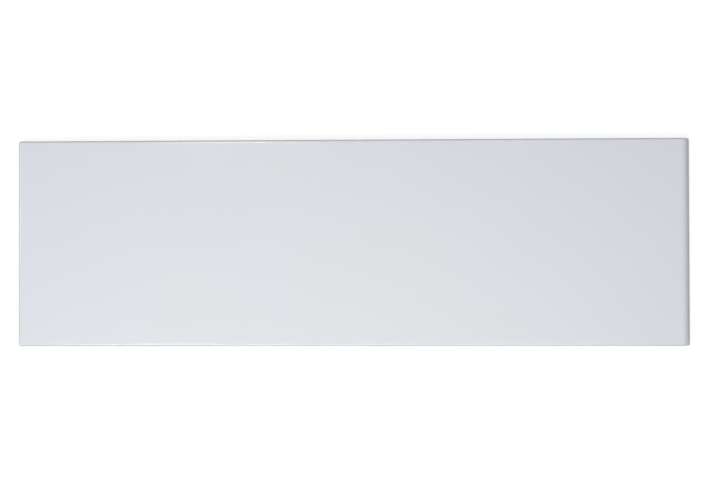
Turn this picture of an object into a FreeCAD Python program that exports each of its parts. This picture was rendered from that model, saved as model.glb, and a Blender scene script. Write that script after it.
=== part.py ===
# Front panel of a bath: one thermoformed acrylic sheet with a return along each of its four edges.
# It lies on its returns with the face up. +X runs along the panel, +Y towards the edge that goes
# under the bath's rim, +Z out of the face. The origin is the middle of the plane of the cut edges.
import FreeCAD, Part
import os
import Sketcher

# Driving dimensions, in millimetres, and the draft in degrees.
DIMENSIONS = [
    ("panel_length", 1690.0, "overall, along the bath"),
    ("panel_height", 520.0, "overall, from the floor to under the rim"),
    ("return_depth", 30.0, "overall, from the face to the cut edges of the returns"),
    ("return_draft", 1.5, "how far each return leans outwards from square, to leave the mould"),
    ("sheet_thickness", 3.0, "of the sheet, in the face and in the returns"),
    ("end_inner_radius", 19.0, "inside the large bend between the face and the right end"),
    ("edge_inner_radius", 3.0, "inside the bends of the other edges and of the four corners"),
]
SHEET = "Dimensions"
PANEL_LABEL = "bath_panel"
PARTS_FOLDER = "parts"

# A flat face looks along a direction when its normal is within this angle of it, in radians.
LOOKS_ALONG = 0.7
# An edge that reaches higher than this is clear of the plane of the cut edges.
CLEAR_OF_CUT = 1e-4

UP = FreeCAD.Vector(0, 0, 1)
TOWARDS_RIM = FreeCAD.Vector(0, 1, 0)
ALONG_BATH = FreeCAD.Vector(1, 0, 0)


def make_dimensions(doc):
    """The spreadsheet that drives the model: a name, a value and a note in each row."""
    sheet = doc.addObject("Spreadsheet::Sheet", SHEET)
    for row, (alias, value, note) in enumerate(DIMENSIONS, start=1):
        sheet.set(f"A{row}", alias)
        sheet.set(f"B{row}", str(value))
        sheet.set(f"C{row}", note)
        sheet.setAlias(f"B{row}", alias)
    doc.recompute()
    return sheet


def origin_plane(body, role):
    """The body's own origin plane with this role."""
    return next(plane for plane in body.Origin.OriginFeatures if plane.Role == role)


def flat_faces(shape, direction):
    """The flat faces that look along the direction, by name."""
    return {
        f"Face{number}": face
        for number, face in enumerate(shape.Faces, start=1)
        if isinstance(face.Surface, Part.Plane)
        and face.normalAt(0, 0).getAngle(direction) < LOOKS_ALONG
    }


def edge_names(shape, wanted):
    """The names of the shape's edges that are among the wanted ones."""
    return [
        f"Edge{number}"
        for number, edge in enumerate(shape.Edges, start=1)
        if any(edge.isSame(other) for other in wanted)
    ]


def draw_cut_edge_outline(body, sheet):
    """The outline of the cut edges: a rectangle with the origin in its middle."""
    sketch = body.newObject("Sketcher::SketchObject", "CutEdgeOutline")
    sketch.AttachmentSupport = [(origin_plane(body, "XY_Plane"), "")]
    sketch.MapMode = "FlatFace"
    half_length = sheet.panel_length / 2
    half_height = sheet.panel_height / 2
    corners = [
        FreeCAD.Vector(-half_length, -half_height, 0),
        FreeCAD.Vector(half_length, -half_height, 0),
        FreeCAD.Vector(half_length, half_height, 0),
        FreeCAD.Vector(-half_length, half_height, 0),
    ]
    for start, end in zip(corners, corners[1:] + corners[:1]):
        sketch.addGeometry(Part.LineSegment(start, end))

    bottom, right, top, left = range(len(corners))
    start_point, end_point = 1, 2
    sketch_axes, origin_point = -1, 1
    for line, following in ((bottom, right), (right, top), (top, left), (left, bottom)):
        sketch.addConstraint(
            Sketcher.Constraint("Coincident", line, end_point, following, start_point)
        )
    for line in (bottom, top):
        sketch.addConstraint(Sketcher.Constraint("Horizontal", line))
    for line in (right, left):
        sketch.addConstraint(Sketcher.Constraint("Vertical", line))
    sketch.addConstraint(
        Sketcher.Constraint(
            "Symmetric", bottom, start_point, top, start_point, sketch_axes, origin_point
        )
    )
    for line, alias in ((bottom, "panel_length"), (right, "panel_height")):
        index = sketch.addConstraint(Sketcher.Constraint("Distance", line, getattr(sheet, alias)))
        sketch.renameConstraint(index, alias)
        sketch.setExpression(f"Constraints.{alias}", f"{SHEET}.{alias}")
    return sketch


def raise_block(body, outline):
    """The solid block that the panel fills, square to the plane of the cut edges."""
    block = body.newObject("PartDesign::Pad", "Block")
    block.Profile = outline
    block.setExpression("Length", f"{SHEET}.return_depth")
    return block


def lean_returns(body, block):
    """Leans the four sides out from the face towards the cut edges, which keep their outline."""
    sides = []
    for direction in (ALONG_BATH, -ALONG_BATH, TOWARDS_RIM, -TOWARDS_RIM):
        sides += flat_faces(block.Shape, direction)
    lean = body.newObject("PartDesign::Draft", "ReturnDraft")
    lean.Base = (block, sides)
    lean.NeutralPlane = (origin_plane(body, "XY_Plane"), [""])
    lean.setExpression("Angle", f"{SHEET}.return_draft")
    return lean


def upper_edges(shape, direction):
    """The edges of the side that faces the direction, without the one along the cut edges."""
    (side,) = flat_faces(shape, direction).values()
    return [edge for edge in side.Edges if edge.BoundBox.ZMax > CLEAR_OF_CUT]


def bend_right_end(body, block):
    """The large bend between the face and the return at the right end."""
    (face,) = flat_faces(block.Shape, UP).values()
    end = max(face.Edges, key=lambda edge: edge.CenterOfMass.x)
    bend = body.newObject("PartDesign::Fillet", "RightEndBend")
    bend.Base = (block, edge_names(block.Shape, [end]))
    bend.setExpression("Radius", f"{SHEET}.end_inner_radius + {SHEET}.sheet_thickness")
    return bend


def bend_other_edges(body, block):
    """The small bend along the top, the bottom and the left end, and down the four corners."""
    edges = []
    for direction in (TOWARDS_RIM, -TOWARDS_RIM, -ALONG_BATH):
        edges += upper_edges(block.Shape, direction)
    bend = body.newObject("PartDesign::Fillet", "OtherBends")
    bend.Base = (block, edge_names(block.Shape, edges))
    bend.setExpression("Radius", f"{SHEET}.edge_inner_radius + {SHEET}.sheet_thickness")
    return bend


def hollow_to_sheet(body, block):
    """Keeps the sheet's thickness under the outer skin and opens the back."""
    shell = body.newObject("PartDesign::Thickness", "FormedSheet")
    shell.Base = (block, list(flat_faces(block.Shape, -UP)))
    shell.Mode = "Skin"
    shell.Join = "Intersection"
    shell.Reversed = True
    shell.setExpression("Value", f"{SHEET}.sheet_thickness")
    return shell


def make_panel(doc, sheet):
    """The panel as one body: a block, its draft and bends, and then the hollow behind the face."""
    body = doc.addObject("PartDesign::Body", "BathPanel")
    body.Label = PANEL_LABEL
    shaped = draw_cut_edge_outline(body, sheet)
    steps = (raise_block, lean_returns, bend_right_end, bend_other_edges, hollow_to_sheet)
    for operation in steps:
        shaped = operation(body, shaped)
        doc.recompute()
    body.Tip = shaped
    body.Placement = FreeCAD.Placement()
    doc.recompute()
    return body


def check(doc, sub_parts):
    """Stops the build if an object of the document failed or a sub-part isn't one sound solid."""
    failed = [item.Name for item in doc.Objects if {"Invalid", "Error"} & set(item.State)]
    if failed:
        raise RuntimeError(f"these objects failed: {failed}")
    for part in sub_parts:
        shape = part.Shape
        if shape.isNull() or not shape.isValid() or len(shape.Solids) != 1:
            raise RuntimeError(f"{part.Label} is not one sound solid")


def write_steps(sub_parts):
    """Writes each sub-part to its own STEP file, and prints its size."""
    os.makedirs(PARTS_FOLDER, exist_ok=True)
    for part in sub_parts:
        part.Shape.exportStep(os.path.join(PARTS_FOLDER, f"{part.Label}.step"))
        box = part.Shape.optimalBoundingBox(False)
        print(f"{part.Label}: {box.XLength:.2f} x {box.YLength:.2f} x {box.ZLength:.2f} mm")


def main():
    doc = FreeCAD.newDocument("BathPanel")
    sheet = make_dimensions(doc)
    sub_parts = [make_panel(doc, sheet)]
    check(doc, sub_parts)
    write_steps(sub_parts)


main()
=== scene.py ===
import math
from typing import NamedTuple

import bpy
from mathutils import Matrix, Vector


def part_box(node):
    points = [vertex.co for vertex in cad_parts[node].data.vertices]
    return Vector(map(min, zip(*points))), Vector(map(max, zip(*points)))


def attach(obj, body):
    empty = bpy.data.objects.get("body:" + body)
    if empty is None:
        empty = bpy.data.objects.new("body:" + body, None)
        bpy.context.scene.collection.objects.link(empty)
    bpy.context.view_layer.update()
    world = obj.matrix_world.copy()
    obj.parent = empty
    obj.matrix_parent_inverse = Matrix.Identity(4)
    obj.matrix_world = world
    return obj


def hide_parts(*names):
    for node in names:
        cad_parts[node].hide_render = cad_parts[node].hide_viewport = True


# Looks of a bath front panel: one sheet of white gloss acrylic, formed with a return along each edge,
# lying face up. Lengths are in metres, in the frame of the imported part.
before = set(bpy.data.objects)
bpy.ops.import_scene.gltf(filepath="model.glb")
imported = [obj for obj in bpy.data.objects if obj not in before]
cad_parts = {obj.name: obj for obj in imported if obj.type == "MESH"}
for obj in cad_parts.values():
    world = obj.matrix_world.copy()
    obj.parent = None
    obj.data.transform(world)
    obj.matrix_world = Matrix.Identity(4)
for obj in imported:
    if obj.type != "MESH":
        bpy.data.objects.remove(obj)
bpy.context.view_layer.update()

PANEL_NODE = "bath_panel"
BODY = "root"

# The formed sheet. Its overall sizes come from the frame. The end bend is the right end's, and the edge
# bend is that of the other edges and of the corners.
SHEET_THICKNESS = 0.003
END_BEND_RADIUS = 0.022
EDGE_BEND_RADIUS = 0.006
RETURN_DRAFT = math.radians(1.5)

# The cut edges are broken by a small round, wherever two faces meet at more than this angle.
CUT_EDGE_CHAMFER = 0.0004
CHAMFER_SEGMENTS = 2
CHAMFER_ANGLE = math.radians(60)

# Mesh cells along each stretch of the sheet. A bend has this many cells to each half of its turn.
CELLS_ALONG_FACE = 64
CELLS_ACROSS_FACE = 24
CELLS_DOWN_RETURN = 6
CELLS_IN_HALF_BEND = 12
# The share of a half bend's cells, on the long returns, that lies flat beside the end bend.
FLAT_SHARE = 1 / 3

# The camera looks down on the face, a little from the right, with the top edge of the panel up.
CAMERA_PLACE = (0.182, -0.050, 4.0)
CAMERA_TURN = tuple(math.radians(angle) for angle in (0.813, 2.322, -0.141))
CAMERA_LENS = 79.18
CAMERA_SENSOR = 36.0


class Finish(NamedTuple):
    """A finish of the white acrylic.

    It drifts between two tones, as linear colours, and between two roughnesses, in patches of a size.
    The long waves and the fine ripple of its surface each have a length and a height. The drift of the
    tones may be shifted over the sheet.
    """

    name: str
    tones: tuple
    tone_patch: float
    roughness: tuple
    roughness_patch: float
    waves: tuple
    ripple: tuple
    tone_shift: tuple = (0.0, 0.0, 0.0)


# This shift brings the cooler patches of the face to its left end and its top right corner. There they are
# painted cool light: the bluish tint of the cool lamp from the left, and of the cool fill where the front
# light is weak.
FACE_PAINTED_COOL_LIGHT_SHIFT = (3.94, 0.38, 2.445)


FACE_FINISH = Finish(
    name="gloss_acrylic_face",
    # The second tone is the cooler one. Where the shift places it on the face, it is painted cool light.
    tones=((0.718, 0.734, 0.757, 1.0), (0.709, 0.724, 0.777, 1.0)),
    tone_patch=0.55,
    roughness=(0.06, 0.11),
    roughness_patch=0.09,
    waves=(0.22, 6e-5),
    ripple=(0.004, 2e-6),
    tone_shift=FACE_PAINTED_COOL_LIGHT_SHIFT,
)
BACK_FINISH = Finish(
    name="satin_acrylic_back",
    tones=((0.665, 0.680, 0.705, 1.0), (0.685, 0.697, 0.715, 1.0)),
    tone_patch=0.12,
    roughness=(0.36, 0.50),
    roughness_patch=0.05,
    waves=(0.18, 8e-5),
    ripple=(0.006, 2e-5),
)
CUT_EDGE_FINISH = Finish(
    name="trimmed_cut_edge",
    tones=((0.680, 0.695, 0.720, 1.0), (0.640, 0.652, 0.675, 1.0)),
    tone_patch=0.03,
    roughness=(0.52, 0.68),
    roughness_patch=0.01,
    waves=(0.05, 2e-5),
    ripple=(0.003, 1e-5),
)
ACRYLIC_IOR = 1.49

# The marks that the saw left on the cut edge.
SAW_SCALE = 210.0
SAW_DEPTH = 4e-5
SAW_UNEVENNESS = 3.0
SAW_DETAIL = 2.0
SAW_DETAIL_SCALE = 1.5

# The soft dome of light over the panel, strongest straight above it.
DOME_COLOUR = (0.906, 0.948, 1.0, 1.0)
DOME_STRENGTH = 1.97
DOME_FOCUS = 8.0


class SoftBox(NamedTuple):
    """A soft rectangular lamp: its place, the point that it faces, its width and height, and its watts."""

    name: str
    place: tuple
    faces: tuple
    size: tuple
    power: float
    colour: tuple


# One soft box lights the face from the front. The others are far away and show along the bends.
SOFT_BOXES = (
    SoftBox(
        name="front_soft_box",
        place=(-0.12, -1.20, 2.20),
        faces=(-0.12, 0.0, 0.0),
        size=(2.00, 0.60),
        power=29.5,
        colour=(1.0, 0.967, 0.915),
    ),
    SoftBox(
        name="front_left_soft_box",
        place=(-1.74, -1.46, 6.38),
        faces=(-1.74, -0.25, 0.0),
        size=(1.25, 1.00),
        power=52.0,
        colour=(1.0, 0.985, 0.965),
    ),
    SoftBox(
        name="back_soft_box",
        place=(-1.10, 1.46, 6.38),
        faces=(-1.10, 0.25, 0.0),
        size=(0.90, 0.80),
        power=44.0,
        colour=(0.98, 0.99, 1.0),
    ),
    SoftBox(
        name="left_soft_box",
        place=(-3.84, 0.27, 5.20),
        faces=(-0.84, 0.27, 0.0),
        size=(0.75, 1.40),
        power=34.0,
        colour=(0.88, 0.93, 1.0),
    ),
)

# The floor is white to the camera where the light reaches it, and duller in the light that it gives back.
# Its glow makes up for the light that fades away from the panel, between two distances from the middle.
FLOOR_REACH = 30.0
FLOOR_NEAR = 0.6
FLOOR_FAR = 3.0
FLOOR_GLOW_NEAR = 0.80
FLOOR_GLOW_FAR = 0.94
FLOOR_PAINT = (0.24, 0.24, 0.24, 1.0)
FLOOR_BOUNCE = (0.12, 0.12, 0.12, 1.0)
WHITE = (1.0, 1.0, 1.0, 1.0)


class Field:
    """A socket of a node tree that can be added, multiplied and so on like a number."""

    def __init__(self, tree, socket):
        self.tree = tree
        self.socket = socket

    def math(self, operation, *others):
        """The result of a maths node that takes this field first."""
        node = self.tree.nodes.new("ShaderNodeMath")
        node.operation = operation
        for place, value in enumerate((self, *others)):
            feed(self.tree, value, node.inputs[place])
        return Field(self.tree, node.outputs[0])

    def __add__(self, other):
        return self.math("ADD", other)

    def __sub__(self, other):
        return self.math("SUBTRACT", other)

    def __rsub__(self, other):
        return self.math("MULTIPLY", -1.0) + other

    def __mul__(self, other):
        return self.math("MULTIPLY", other)

    def __truediv__(self, other):
        return self.math("DIVIDE", other)

    def __rtruediv__(self, other):
        return self.math("POWER", -1.0) * other


def feed(tree, value, socket):
    """Links a field or a socket to an input, or writes a plain value on it."""
    if isinstance(value, Field):
        tree.links.new(value.socket, socket)
    elif isinstance(value, bpy.types.NodeSocket):
        tree.links.new(value, socket)
    else:
        socket.default_value = value


def add_node(tree, kind, inputs=None, **settings):
    """A new node with its settings, and its inputs given by name."""
    node = tree.nodes.new(kind)
    for name, value in settings.items():
        setattr(node, name, value)
    for name, value in (inputs or {}).items():
        feed(tree, value, node.inputs[name])
    return node


def new_tree(name, kind, inputs, outputs):
    """A node group with named sockets: (tree, fields of its inputs by name, its output node)."""
    tree = bpy.data.node_groups.new(name, kind)
    for direction, sockets in (("INPUT", inputs), ("OUTPUT", outputs)):
        for label, socket_type in sockets:
            tree.interface.new_socket(name=label, in_out=direction, socket_type=socket_type)
    source = tree.nodes.new("NodeGroupInput")
    fields = {label: Field(tree, source.outputs[label]) for label, _ in inputs}
    return tree, fields, tree.nodes.new("NodeGroupOutput")


# The formed sheet

SHEET_SIZES = (
    ("Length", "NodeSocketFloat"),
    ("Height", "NodeSocketFloat"),
    ("Depth", "NodeSocketFloat"),
    ("Thickness", "NodeSocketFloat"),
    ("End Bend Radius", "NodeSocketFloat"),
    ("Edge Bend Radius", "NodeSocketFloat"),
    ("Draft", "NodeSocketFloat"),
)
SHEET_CELLS = (
    ("Cells Along", "NodeSocketInt"),
    ("Cells Across", "NodeSocketInt"),
    ("Cells Down", "NodeSocketInt"),
    ("Cells In Half Bend", "NodeSocketInt"),
    ("Flat Share", "NodeSocketFloat"),
)
SHEET_FINISHES = (
    ("Face Finish", "NodeSocketMaterial"),
    ("Back Finish", "NodeSocketMaterial"),
    ("Cut Edge Finish", "NodeSocketMaterial"),
)
# The tree keeps two marks, each nought or one: on the inner skin's points and on the cut edge's faces.
# A mark counts where it is above MARKED.
INTO_SHEET = "into_sheet"
CUT_EDGE = "cut_edge"
MARKED = 0.9

# The lid of cells before it is formed: one from its middle to each side, and one from its rim to its top.
LID_SIZE = (2.0, 2.0, 1.0)
# The height of a face's normal, below which the face is the closed bottom that the lid doesn't have.
LOOKS_DOWN = -0.5
# An edge on the lid's rim has fewer faces than this: one, where any other edge has two.
RIM_FACES = 1.5

# How far the sheet turns in a bend.
FULL_BEND = math.pi / 2
HALF_BEND = FULL_BEND / 2
# Points of the two skins that are closer than this are one point.
MERGE_DISTANCE = 1e-6


def lid_of_cells(tree, size):
    """A lid, open below, whose cells become the sheet's."""
    bend = size["Cells In Half Bend"]
    cube = add_node(
        tree,
        "GeometryNodeMeshCube",
        {
            "Size": LID_SIZE,
            "Vertices X": size["Cells Along"] + bend * 2 + 1,
            "Vertices Y": size["Cells Across"] + bend * 2 + 1,
            "Vertices Z": size["Cells Down"] + bend + 1,
        },
    )
    normal = tree.nodes.new("GeometryNodeInputNormal")
    turned = add_node(tree, "ShaderNodeSeparateXYZ", {"Vector": normal.outputs[0]})
    below = Field(tree, turned.outputs["Z"]).math("LESS_THAN", LOOKS_DOWN)
    lid = add_node(
        tree,
        "GeometryNodeDeleteGeometry",
        {"Geometry": cube.outputs["Mesh"], "Selection": below},
        domain="FACE",
    )
    return lid.outputs["Geometry"]


def mark(tree, geometry, name, value, domain, selection=True):
    """Stores a named number on the geometry."""
    node = add_node(
        tree,
        "GeometryNodeStoreNamedAttribute",
        {"Geometry": geometry, "Selection": selection, "Name": name, "Value": value},
        data_type="FLOAT",
        domain=domain,
    )
    return node.outputs["Geometry"]


def named(tree, name):
    """A named number of the geometry, as a field."""
    node = add_node(tree, "GeometryNodeInputNamedAttribute", {"Name": name}, data_type="FLOAT")
    return Field(tree, node.outputs["Attribute"])


def both_skins(tree, lid):
    """The lid as an outer skin, the cut edge and an inner skin that faces the other way."""
    outer = mark(tree, lid, INTO_SHEET, 0.0, "POINT")
    neighbours = tree.nodes.new("GeometryNodeInputMeshEdgeNeighbors")
    rim = Field(tree, neighbours.outputs["Face Count"]).math("LESS_THAN", RIM_FACES)
    cut = add_node(
        tree,
        "GeometryNodeExtrudeMesh",
        {"Mesh": outer, "Selection": rim, "Offset Scale": 0.0},
        mode="EDGES",
    )
    skin = mark(tree, cut.outputs["Mesh"], INTO_SHEET, 1.0, "POINT", cut.outputs["Top"])
    skin = mark(tree, skin, CUT_EDGE, 1.0, "FACE", cut.outputs["Side"])
    flipped = add_node(tree, "GeometryNodeFlipFaces", {"Mesh": lid})
    inner = mark(tree, flipped.outputs["Mesh"], INTO_SHEET, 1.0, "POINT")
    joined = tree.nodes.new("GeometryNodeJoinGeometry")
    for part in (skin, inner):
        tree.links.new(part, joined.inputs["Geometry"])
    return joined.outputs["Geometry"]


def stretch(coordinate, flat):
    """How far a cell is along the flat, closing up towards the bend, and how far through the bend."""
    along = (coordinate / flat).math("MINIMUM", 1.0)
    eased = along * (2.0 - along)
    through = (coordinate - flat).math("MAXIMUM", 0.0) / (1.0 - flat)
    return eased, through


def formed_places(tree, size):
    """Where each point of the lid lies on the formed sheet.

    A ball as large as the edge bend rolls over a core. The core is rounded between the face and the right
    end, and its other edges are sharp. The inner skin is a smaller ball's over the same core.
    """
    place = add_node(
        tree,
        "ShaderNodeSeparateXYZ",
        {"Vector": tree.nodes.new("GeometryNodeInputPosition").outputs[0]},
    )
    lid_x, lid_y, lid_z = (Field(tree, place.outputs[axis]) for axis in "XYZ")
    bend = size["Cells In Half Bend"]
    flat_along = size["Cells Along"] / (size["Cells Along"] + bend * 2)
    flat_across = size["Cells Across"] / (size["Cells Across"] + bend * 2)
    flat_down = size["Cells Down"] / (size["Cells Down"] + bend)
    along, bend_x = stretch(lid_x.math("ABSOLUTE"), flat_along)
    across, bend_y = stretch(lid_y.math("ABSOLUTE"), flat_across)
    down, bend_z = stretch(lid_z + LID_SIZE[2] / 2, flat_down)

    on_right = lid_x.math("GREATER_THAN", 0.0)
    core_radius = (size["End Bend Radius"] - size["Edge Bend Radius"]) * on_right
    end_radius = size["Edge Bend Radius"] + core_radius
    flat_share = size["Flat Share"] * on_right

    # The turn from the face to the end, and from there to the long return.
    through = bend_x.math("MAXIMUM", bend_z)
    tangents = [((part / through) * HALF_BEND).math("TANGENT") for part in (bend_x, bend_z)]
    to_end = tangents[0].math("ARCTAN2", tangents[1]) * (1.0 - size["Draft"] / FULL_BEND)
    rounded = (through - flat_share).math("MAXIMUM", 0.0) / (1.0 - flat_share)
    tangents = [(part * HALF_BEND).math("TANGENT") for part in (bend_y, rounded)]
    to_side = tangents[0].math("ARCTAN2", tangents[1])

    # The way that the sheet faces.
    lean = {name: size["Draft"].math(name) for name in ("SINE", "COSINE", "TANGENT")}
    facing = add_node(
        tree,
        "ShaderNodeCombineXYZ",
        {
            "X": to_side.math("COSINE") * to_end.math("SINE"),
            "Y": to_side.math("SINE") * lean["COSINE"],
            "Z": to_side.math("COSINE") * to_end.math("COSINE") + to_side.math("SINE") * lean["SINE"],
        },
    )
    unit = add_node(tree, "ShaderNodeVectorMath", {0: facing.outputs[0]}, operation="NORMALIZE")
    turned = add_node(tree, "ShaderNodeSeparateXYZ", {"Vector": unit.outputs[0]})
    face_x, face_y, face_z = (Field(tree, turned.outputs[axis]) for axis in "XYZ")

    # The core, and the ball's skin over it.
    reach = core_radius * (through / flat_share).math("MINIMUM", 1.0)
    centre_z = size["Depth"] - end_radius
    centre_x = size["Length"] / 2.0 - end_radius / lean["COSINE"] - centre_z * lean["TANGENT"]
    core_x = along * centre_x + reach * to_end.math("SINE")
    core_z = centre_z + reach * to_end.math("COSINE")
    side = size["Height"] / 2.0 - size["Edge Bend Radius"] / lean["COSINE"] - core_z * lean["TANGENT"]
    core_y = across * side
    ball = size["Edge Bend Radius"] - size["Thickness"] * named(tree, INTO_SHEET)
    top_z = core_z + ball * face_z

    # Below the bends, the returns run down to the cut edge and lean outwards.
    drop = (1.0 - down) * top_z
    formed = add_node(
        tree,
        "ShaderNodeCombineXYZ",
        {
            "X": lid_x.math("SIGN") * (core_x + ball * face_x + drop * along * lean["TANGENT"]),
            "Y": lid_y.math("SIGN") * (core_y + ball * face_y + drop * across * lean["TANGENT"]),
            "Z": top_z - drop,
        },
    )
    return formed.outputs[0]


def formed_sheet_tree():
    """The tree of the formed sheet: a lid of cells in two skins, moved to its place, and its finishes."""
    inputs = SHEET_SIZES + SHEET_CELLS + SHEET_FINISHES
    tree, size, output = new_tree(
        "formed_sheet", "GeometryNodeTree", inputs, (("Geometry", "NodeSocketGeometry"),)
    )
    skins = both_skins(tree, lid_of_cells(tree, size))
    moved = add_node(
        tree, "GeometryNodeSetPosition", {"Geometry": skins, "Position": formed_places(tree, size)}
    )
    closed = add_node(
        tree,
        "GeometryNodeMergeByDistance",
        {"Geometry": moved.outputs["Geometry"], "Distance": MERGE_DISTANCE},
    )
    smooth = add_node(tree, "GeometryNodeSetShadeSmooth", {"Geometry": closed.outputs["Geometry"]})
    real = add_node(tree, "GeometryNodeRealizeInstances", {"Geometry": smooth.outputs["Geometry"]})
    finished = real.outputs["Geometry"]
    within = named(tree, INTO_SHEET).math("GREATER_THAN", MARKED)
    trimmed = named(tree, CUT_EDGE).math("GREATER_THAN", MARKED)
    for finish, selection in (("Face Finish", True), ("Back Finish", within), ("Cut Edge Finish", trimmed)):
        coat = add_node(
            tree,
            "GeometryNodeSetMaterial",
            {"Geometry": finished, "Selection": selection, "Material": size[finish]},
        )
        finished = coat.outputs["Geometry"]
    tree.links.new(finished, output.inputs["Geometry"])
    return tree


def set_inputs(modifier, values):
    """Writes a Geometry Nodes modifier's inputs, each by its socket's identifier."""
    identifiers = {
        item.name: item.identifier
        for item in modifier.node_group.interface.items_tree
        if item.in_out == "INPUT"
    }
    for name, value in values.items():
        modifier[identifiers[name]] = value


def plain_mesh(name, tree, values):
    """The tree's result as an object with a plain mesh and no modifier."""
    maker = bpy.data.objects.new(name + "_maker", bpy.data.meshes.new(name + "_maker"))
    bpy.context.scene.collection.objects.link(maker)
    modifier = maker.modifiers.new("nodes", "NODES")
    modifier.node_group = tree
    set_inputs(modifier, values)
    evaluated = maker.evaluated_get(bpy.context.evaluated_depsgraph_get())
    mesh = bpy.data.meshes.new_from_object(evaluated)
    mesh.name = name
    # The tree's result also has an empty slot, which no face uses.
    for index in reversed(range(len(mesh.materials))):
        if mesh.materials[index] is None:
            mesh.materials.pop(index=index)
    bpy.data.objects.remove(maker)
    made = bpy.data.objects.new(name, mesh)
    bpy.context.scene.collection.objects.link(made)
    return made


def make_panel(face_finish, back_finish, cut_edge_finish):
    """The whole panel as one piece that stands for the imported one."""
    low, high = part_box(PANEL_NODE)
    panel = plain_mesh(
        "formed_acrylic_sheet",
        formed_sheet_tree(),
        {
            "Length": high.x - low.x,
            "Height": high.y - low.y,
            "Depth": high.z - low.z,
            "Thickness": SHEET_THICKNESS,
            "End Bend Radius": END_BEND_RADIUS,
            "Edge Bend Radius": EDGE_BEND_RADIUS,
            "Draft": RETURN_DRAFT,
            "Cells Along": CELLS_ALONG_FACE,
            "Cells Across": CELLS_ACROSS_FACE,
            "Cells Down": CELLS_DOWN_RETURN,
            "Cells In Half Bend": CELLS_IN_HALF_BEND,
            "Flat Share": FLAT_SHARE,
            "Face Finish": face_finish,
            "Back Finish": back_finish,
            "Cut Edge Finish": cut_edge_finish,
        },
    )
    chamfer = panel.modifiers.new("cut_edge_chamfer", "BEVEL")
    chamfer.width = CUT_EDGE_CHAMFER
    chamfer.segments = CHAMFER_SEGMENTS
    chamfer.limit_method = "ANGLE"
    chamfer.angle_limit = CHAMFER_ANGLE
    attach(panel, BODY)
    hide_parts(PANEL_NODE)


# Finishes

# Most of a smooth noise lies between these two values.
NOISE_LOW = 0.3
NOISE_HIGH = 0.7
NOISE_ROUGHNESS = 0.5
# How many finer noises are added to a noise.
PIGMENT_DETAIL = 2.0
POLISH_DETAIL = 3.0
RELIEF_DETAIL = 1.0


def smooth_noise(tree, size, detail, shift=None):
    """A noise from nought to one over the sheet, whose patches have a size and may be shifted."""
    place = tree.nodes.new("ShaderNodeTexCoord").outputs["Object"]
    if shift:
        place = add_node(tree, "ShaderNodeMapping", {"Vector": place, "Location": shift}).outputs["Vector"]
    noise = add_node(
        tree,
        "ShaderNodeTexNoise",
        {"Vector": place, "Scale": 1.0 / size, "Detail": detail, "Roughness": NOISE_ROUGHNESS},
    )
    return Field(tree, noise.outputs["Fac"])


def between(tree, noise, lowest, highest):
    """A smooth noise, eased and moved between two values."""
    node = add_node(
        tree,
        "ShaderNodeMapRange",
        {
            "Value": noise,
            "From Min": NOISE_LOW,
            "From Max": NOISE_HIGH,
            "To Min": lowest,
            "To Max": highest,
        },
        interpolation_type="SMOOTHSTEP",
    )
    return Field(tree, node.outputs["Result"])


def pigment_drift_and_painted_tint_group():
    """A faint random drift between two tones of the white acrylic. A shift may place its patches, and on
    the face it places the cooler tone as painted cool light.
    """
    tree, given, output = new_tree(
        "pigment_drift_and_painted_tint",
        "ShaderNodeTree",
        (
            ("Tone", "NodeSocketColor"),
            ("Other Tone", "NodeSocketColor"),
            ("Patch Size", "NodeSocketFloat"),
            ("Shift", "NodeSocketVector"),
        ),
        (("Colour", "NodeSocketColor"),),
    )
    noise = smooth_noise(tree, given["Patch Size"], PIGMENT_DETAIL, given["Shift"])
    share = between(tree, noise, 0.0, 1.0)
    mix = add_node(tree, "ShaderNodeMix", data_type="RGBA")
    ends = {socket.identifier: socket for socket in (*mix.inputs, *mix.outputs)}
    feed(tree, share, ends["Factor_Float"])
    feed(tree, given["Tone"], ends["A_Color"])
    feed(tree, given["Other Tone"], ends["B_Color"])
    feed(tree, ends["Result_Color"], output.inputs["Colour"])
    return tree


def polish_group():
    """A roughness that varies between the best polished patches and the dullest."""
    tree, given, output = new_tree(
        "polish",
        "ShaderNodeTree",
        (
            ("Lowest", "NodeSocketFloat"),
            ("Highest", "NodeSocketFloat"),
            ("Patch Size", "NodeSocketFloat"),
        ),
        (("Roughness", "NodeSocketFloat"),),
    )
    noise = smooth_noise(tree, given["Patch Size"], POLISH_DETAIL)
    feed(tree, between(tree, noise, given["Lowest"], given["Highest"]), output.inputs["Roughness"])
    return tree


def sheet_relief_group():
    """The height of a sheet's surface: long waves left by forming and a fine ripple."""
    tree, given, output = new_tree(
        "sheet_relief",
        "ShaderNodeTree",
        (
            ("Wave Length", "NodeSocketFloat"),
            ("Wave Height", "NodeSocketFloat"),
            ("Ripple Length", "NodeSocketFloat"),
            ("Ripple Height", "NodeSocketFloat"),
        ),
        (("Height", "NodeSocketFloat"),),
    )
    waves = smooth_noise(tree, given["Wave Length"], RELIEF_DETAIL) * given["Wave Height"]
    ripple = smooth_noise(tree, given["Ripple Length"], RELIEF_DETAIL) * given["Ripple Height"]
    feed(tree, waves + ripple, output.inputs["Height"])
    return tree


def use_group(tree, group, values):
    """A group placed in a material with its own values."""
    node = add_node(tree, "ShaderNodeGroup", node_tree=group)
    for name, value in values.items():
        feed(tree, value, node.inputs[name])
    return node.outputs[0]


def saw_marks(tree):
    """Fine cuts across the trimmed edge, one after another along it on all four sides."""
    place = tree.nodes.new("ShaderNodeTexCoord").outputs["Object"]
    cuts = add_node(
        tree,
        "ShaderNodeTexWave",
        {
            "Vector": place,
            "Scale": SAW_SCALE,
            "Distortion": SAW_UNEVENNESS,
            "Detail": SAW_DETAIL,
            "Detail Scale": SAW_DETAIL_SCALE,
        },
        wave_type="BANDS",
        bands_direction="DIAGONAL",
    )
    return Field(tree, cuts.outputs["Fac"]) * SAW_DEPTH


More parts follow.
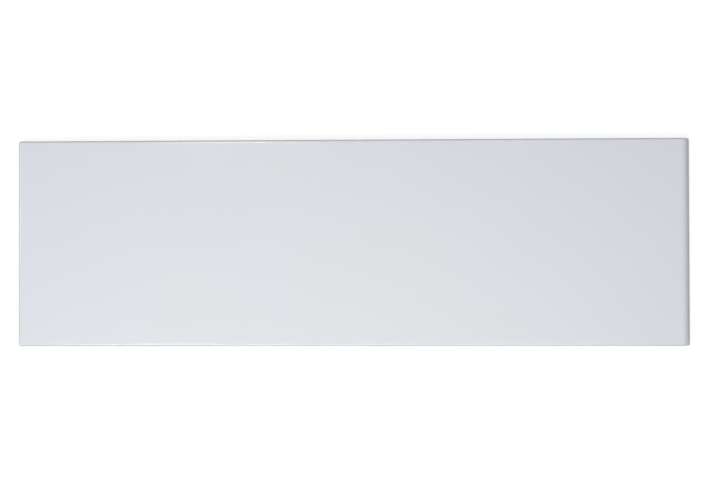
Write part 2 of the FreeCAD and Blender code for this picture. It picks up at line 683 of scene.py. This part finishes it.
def acrylic(finish, tint_drift, polish, relief, extra_height=None):
    """White acrylic with a finish, and a further height on its surface if it has one."""
    material = bpy.data.materials.new(finish.name)
    material.use_nodes = True
    tree = material.node_tree
    shader = tree.nodes["Principled BSDF"]
    shader.inputs["IOR"].default_value = ACRYLIC_IOR

    tone, other_tone = finish.tones
    drift = {
        "Tone": tone,
        "Other Tone": other_tone,
        "Patch Size": finish.tone_patch,
        "Shift": finish.tone_shift,
    }
    # On the face, the shifted drift paints cool light on the left end and the top right corner.
    feed(tree, use_group(tree, tint_drift, drift), shader.inputs["Base Color"])

    lowest, highest = finish.roughness
    gloss = {"Lowest": lowest, "Highest": highest, "Patch Size": finish.roughness_patch}
    feed(tree, use_group(tree, polish, gloss), shader.inputs["Roughness"])

    surface = {}
    for kind, (length, high) in (("Wave", finish.waves), ("Ripple", finish.ripple)):
        surface[kind + " Length"] = length
        surface[kind + " Height"] = high
    height = Field(tree, use_group(tree, relief, surface))
    if extra_height:
        height = height + extra_height(tree)
    bump = add_node(tree, "ShaderNodeBump", {"Strength": 1.0, "Distance": 1.0, "Height": height})
    feed(tree, bump.outputs["Normal"], shader.inputs["Normal"])
    return material


def make_finishes():
    """The gloss face, the satin back and the trimmed edge."""
    effects = (pigment_drift_and_painted_tint_group(), polish_group(), sheet_relief_group())
    face = acrylic(FACE_FINISH, *effects)
    back = acrylic(BACK_FINISH, *effects)
    cut_edge = acrylic(CUT_EDGE_FINISH, *effects, extra_height=saw_marks)
    return face, back, cut_edge


# Studio


def hang_soft_box(box):
    """A soft box at its place, turned to the point that it faces."""
    lamp = bpy.data.lights.new(box.name, "AREA")
    lamp.shape = "RECTANGLE"
    lamp.size, lamp.size_y = box.size
    lamp.energy = box.power
    lamp.color = box.colour
    holder = bpy.data.objects.new(box.name, lamp)
    holder.location = box.place
    holder.rotation_euler = (Vector(box.faces) - Vector(box.place)).to_track_quat("-Z", "Y").to_euler()
    bpy.context.scene.collection.objects.link(holder)


def seen_directly(tree):
    """One for what the camera sees, directly or in a reflection or through glass."""
    path = tree.nodes.new("ShaderNodeLightPath")
    seen = Field(tree, path.outputs["Is Camera Ray"])
    for ray in ("Is Glossy Ray", "Is Transmission Ray"):
        seen = seen.math("MAXIMUM", path.outputs[ray])
    return seen


def make_floor():
    """A plain pale floor, white to the camera where the light reaches it."""
    material = bpy.data.materials.new("pale_floor")
    material.use_nodes = True
    tree = material.node_tree
    tree.nodes.clear()
    place = tree.nodes.new("ShaderNodeTexCoord").outputs["Object"]
    away = add_node(tree, "ShaderNodeVectorMath", {0: place}, operation="LENGTH")
    level = add_node(
        tree,
        "ShaderNodeMapRange",
        {
            "Value": away.outputs["Value"],
            "From Min": FLOOR_NEAR,
            "From Max": FLOOR_FAR,
            "To Min": FLOOR_GLOW_NEAR,
            "To Max": FLOOR_GLOW_FAR,
        },
    )
    glow = add_node(tree, "ShaderNodeEmission", {"Color": WHITE, "Strength": level.outputs["Result"]})
    paint = add_node(tree, "ShaderNodeBsdfDiffuse", {"Color": FLOOR_PAINT})
    both = add_node(tree, "ShaderNodeAddShader", {0: glow.outputs[0], 1: paint.outputs[0]})
    dull = add_node(tree, "ShaderNodeBsdfDiffuse", {"Color": FLOOR_BOUNCE})
    mix = add_node(
        tree, "ShaderNodeMixShader", {0: seen_directly(tree), 1: dull.outputs[0], 2: both.outputs[0]}
    )
    out = tree.nodes.new("ShaderNodeOutputMaterial")
    tree.links.new(mix.outputs[0], out.inputs["Surface"])
    far = FLOOR_REACH
    mesh = bpy.data.meshes.new("floor")
    mesh.from_pydata([(-far, -far, 0), (far, -far, 0), (far, far, 0), (-far, far, 0)], [], [(0, 1, 2, 3)])
    mesh.materials.append(material)
    floor = bpy.data.objects.new("floor", mesh)
    bpy.context.scene.collection.objects.link(floor)


def make_world():
    """A white surround that the camera sees, and a soft dome that lights the panel."""
    world = bpy.data.worlds.new("studio")
    world.use_nodes = True
    tree = world.node_tree
    tree.nodes.clear()
    way = tree.nodes.new("ShaderNodeTexCoord").outputs["Generated"]
    parts = add_node(tree, "ShaderNodeSeparateXYZ", {"Vector": way})
    above = Field(tree, parts.outputs["Z"]).math("MAXIMUM", 0.0)
    level = above.math("POWER", DOME_FOCUS) * DOME_STRENGTH
    dome = add_node(tree, "ShaderNodeBackground", {"Color": DOME_COLOUR, "Strength": level})
    white = add_node(tree, "ShaderNodeBackground", {"Color": WHITE, "Strength": 1.0})
    mix = add_node(
        tree, "ShaderNodeMixShader", {0: seen_directly(tree), 1: dome.outputs[0], 2: white.outputs[0]}
    )
    out = tree.nodes.new("ShaderNodeOutputWorld")
    tree.links.new(mix.outputs[0], out.inputs["Surface"])
    bpy.context.scene.world = world


def make_camera():
    """The camera of the main view."""
    camera = bpy.data.cameras.new("camera")
    camera.lens = CAMERA_LENS
    camera.sensor_width = CAMERA_SENSOR
    holder = bpy.data.objects.new("camera", camera)
    holder.location = CAMERA_PLACE
    holder.rotation_euler = CAMERA_TURN
    bpy.context.scene.collection.objects.link(holder)
    bpy.context.scene.camera = holder


make_panel(*make_finishes())
make_floor()
make_world()
make_camera()
for soft_box in SOFT_BOXES:
    hang_soft_box(soft_box)
bpy.context.scene.view_settings.view_transform = "Standard"
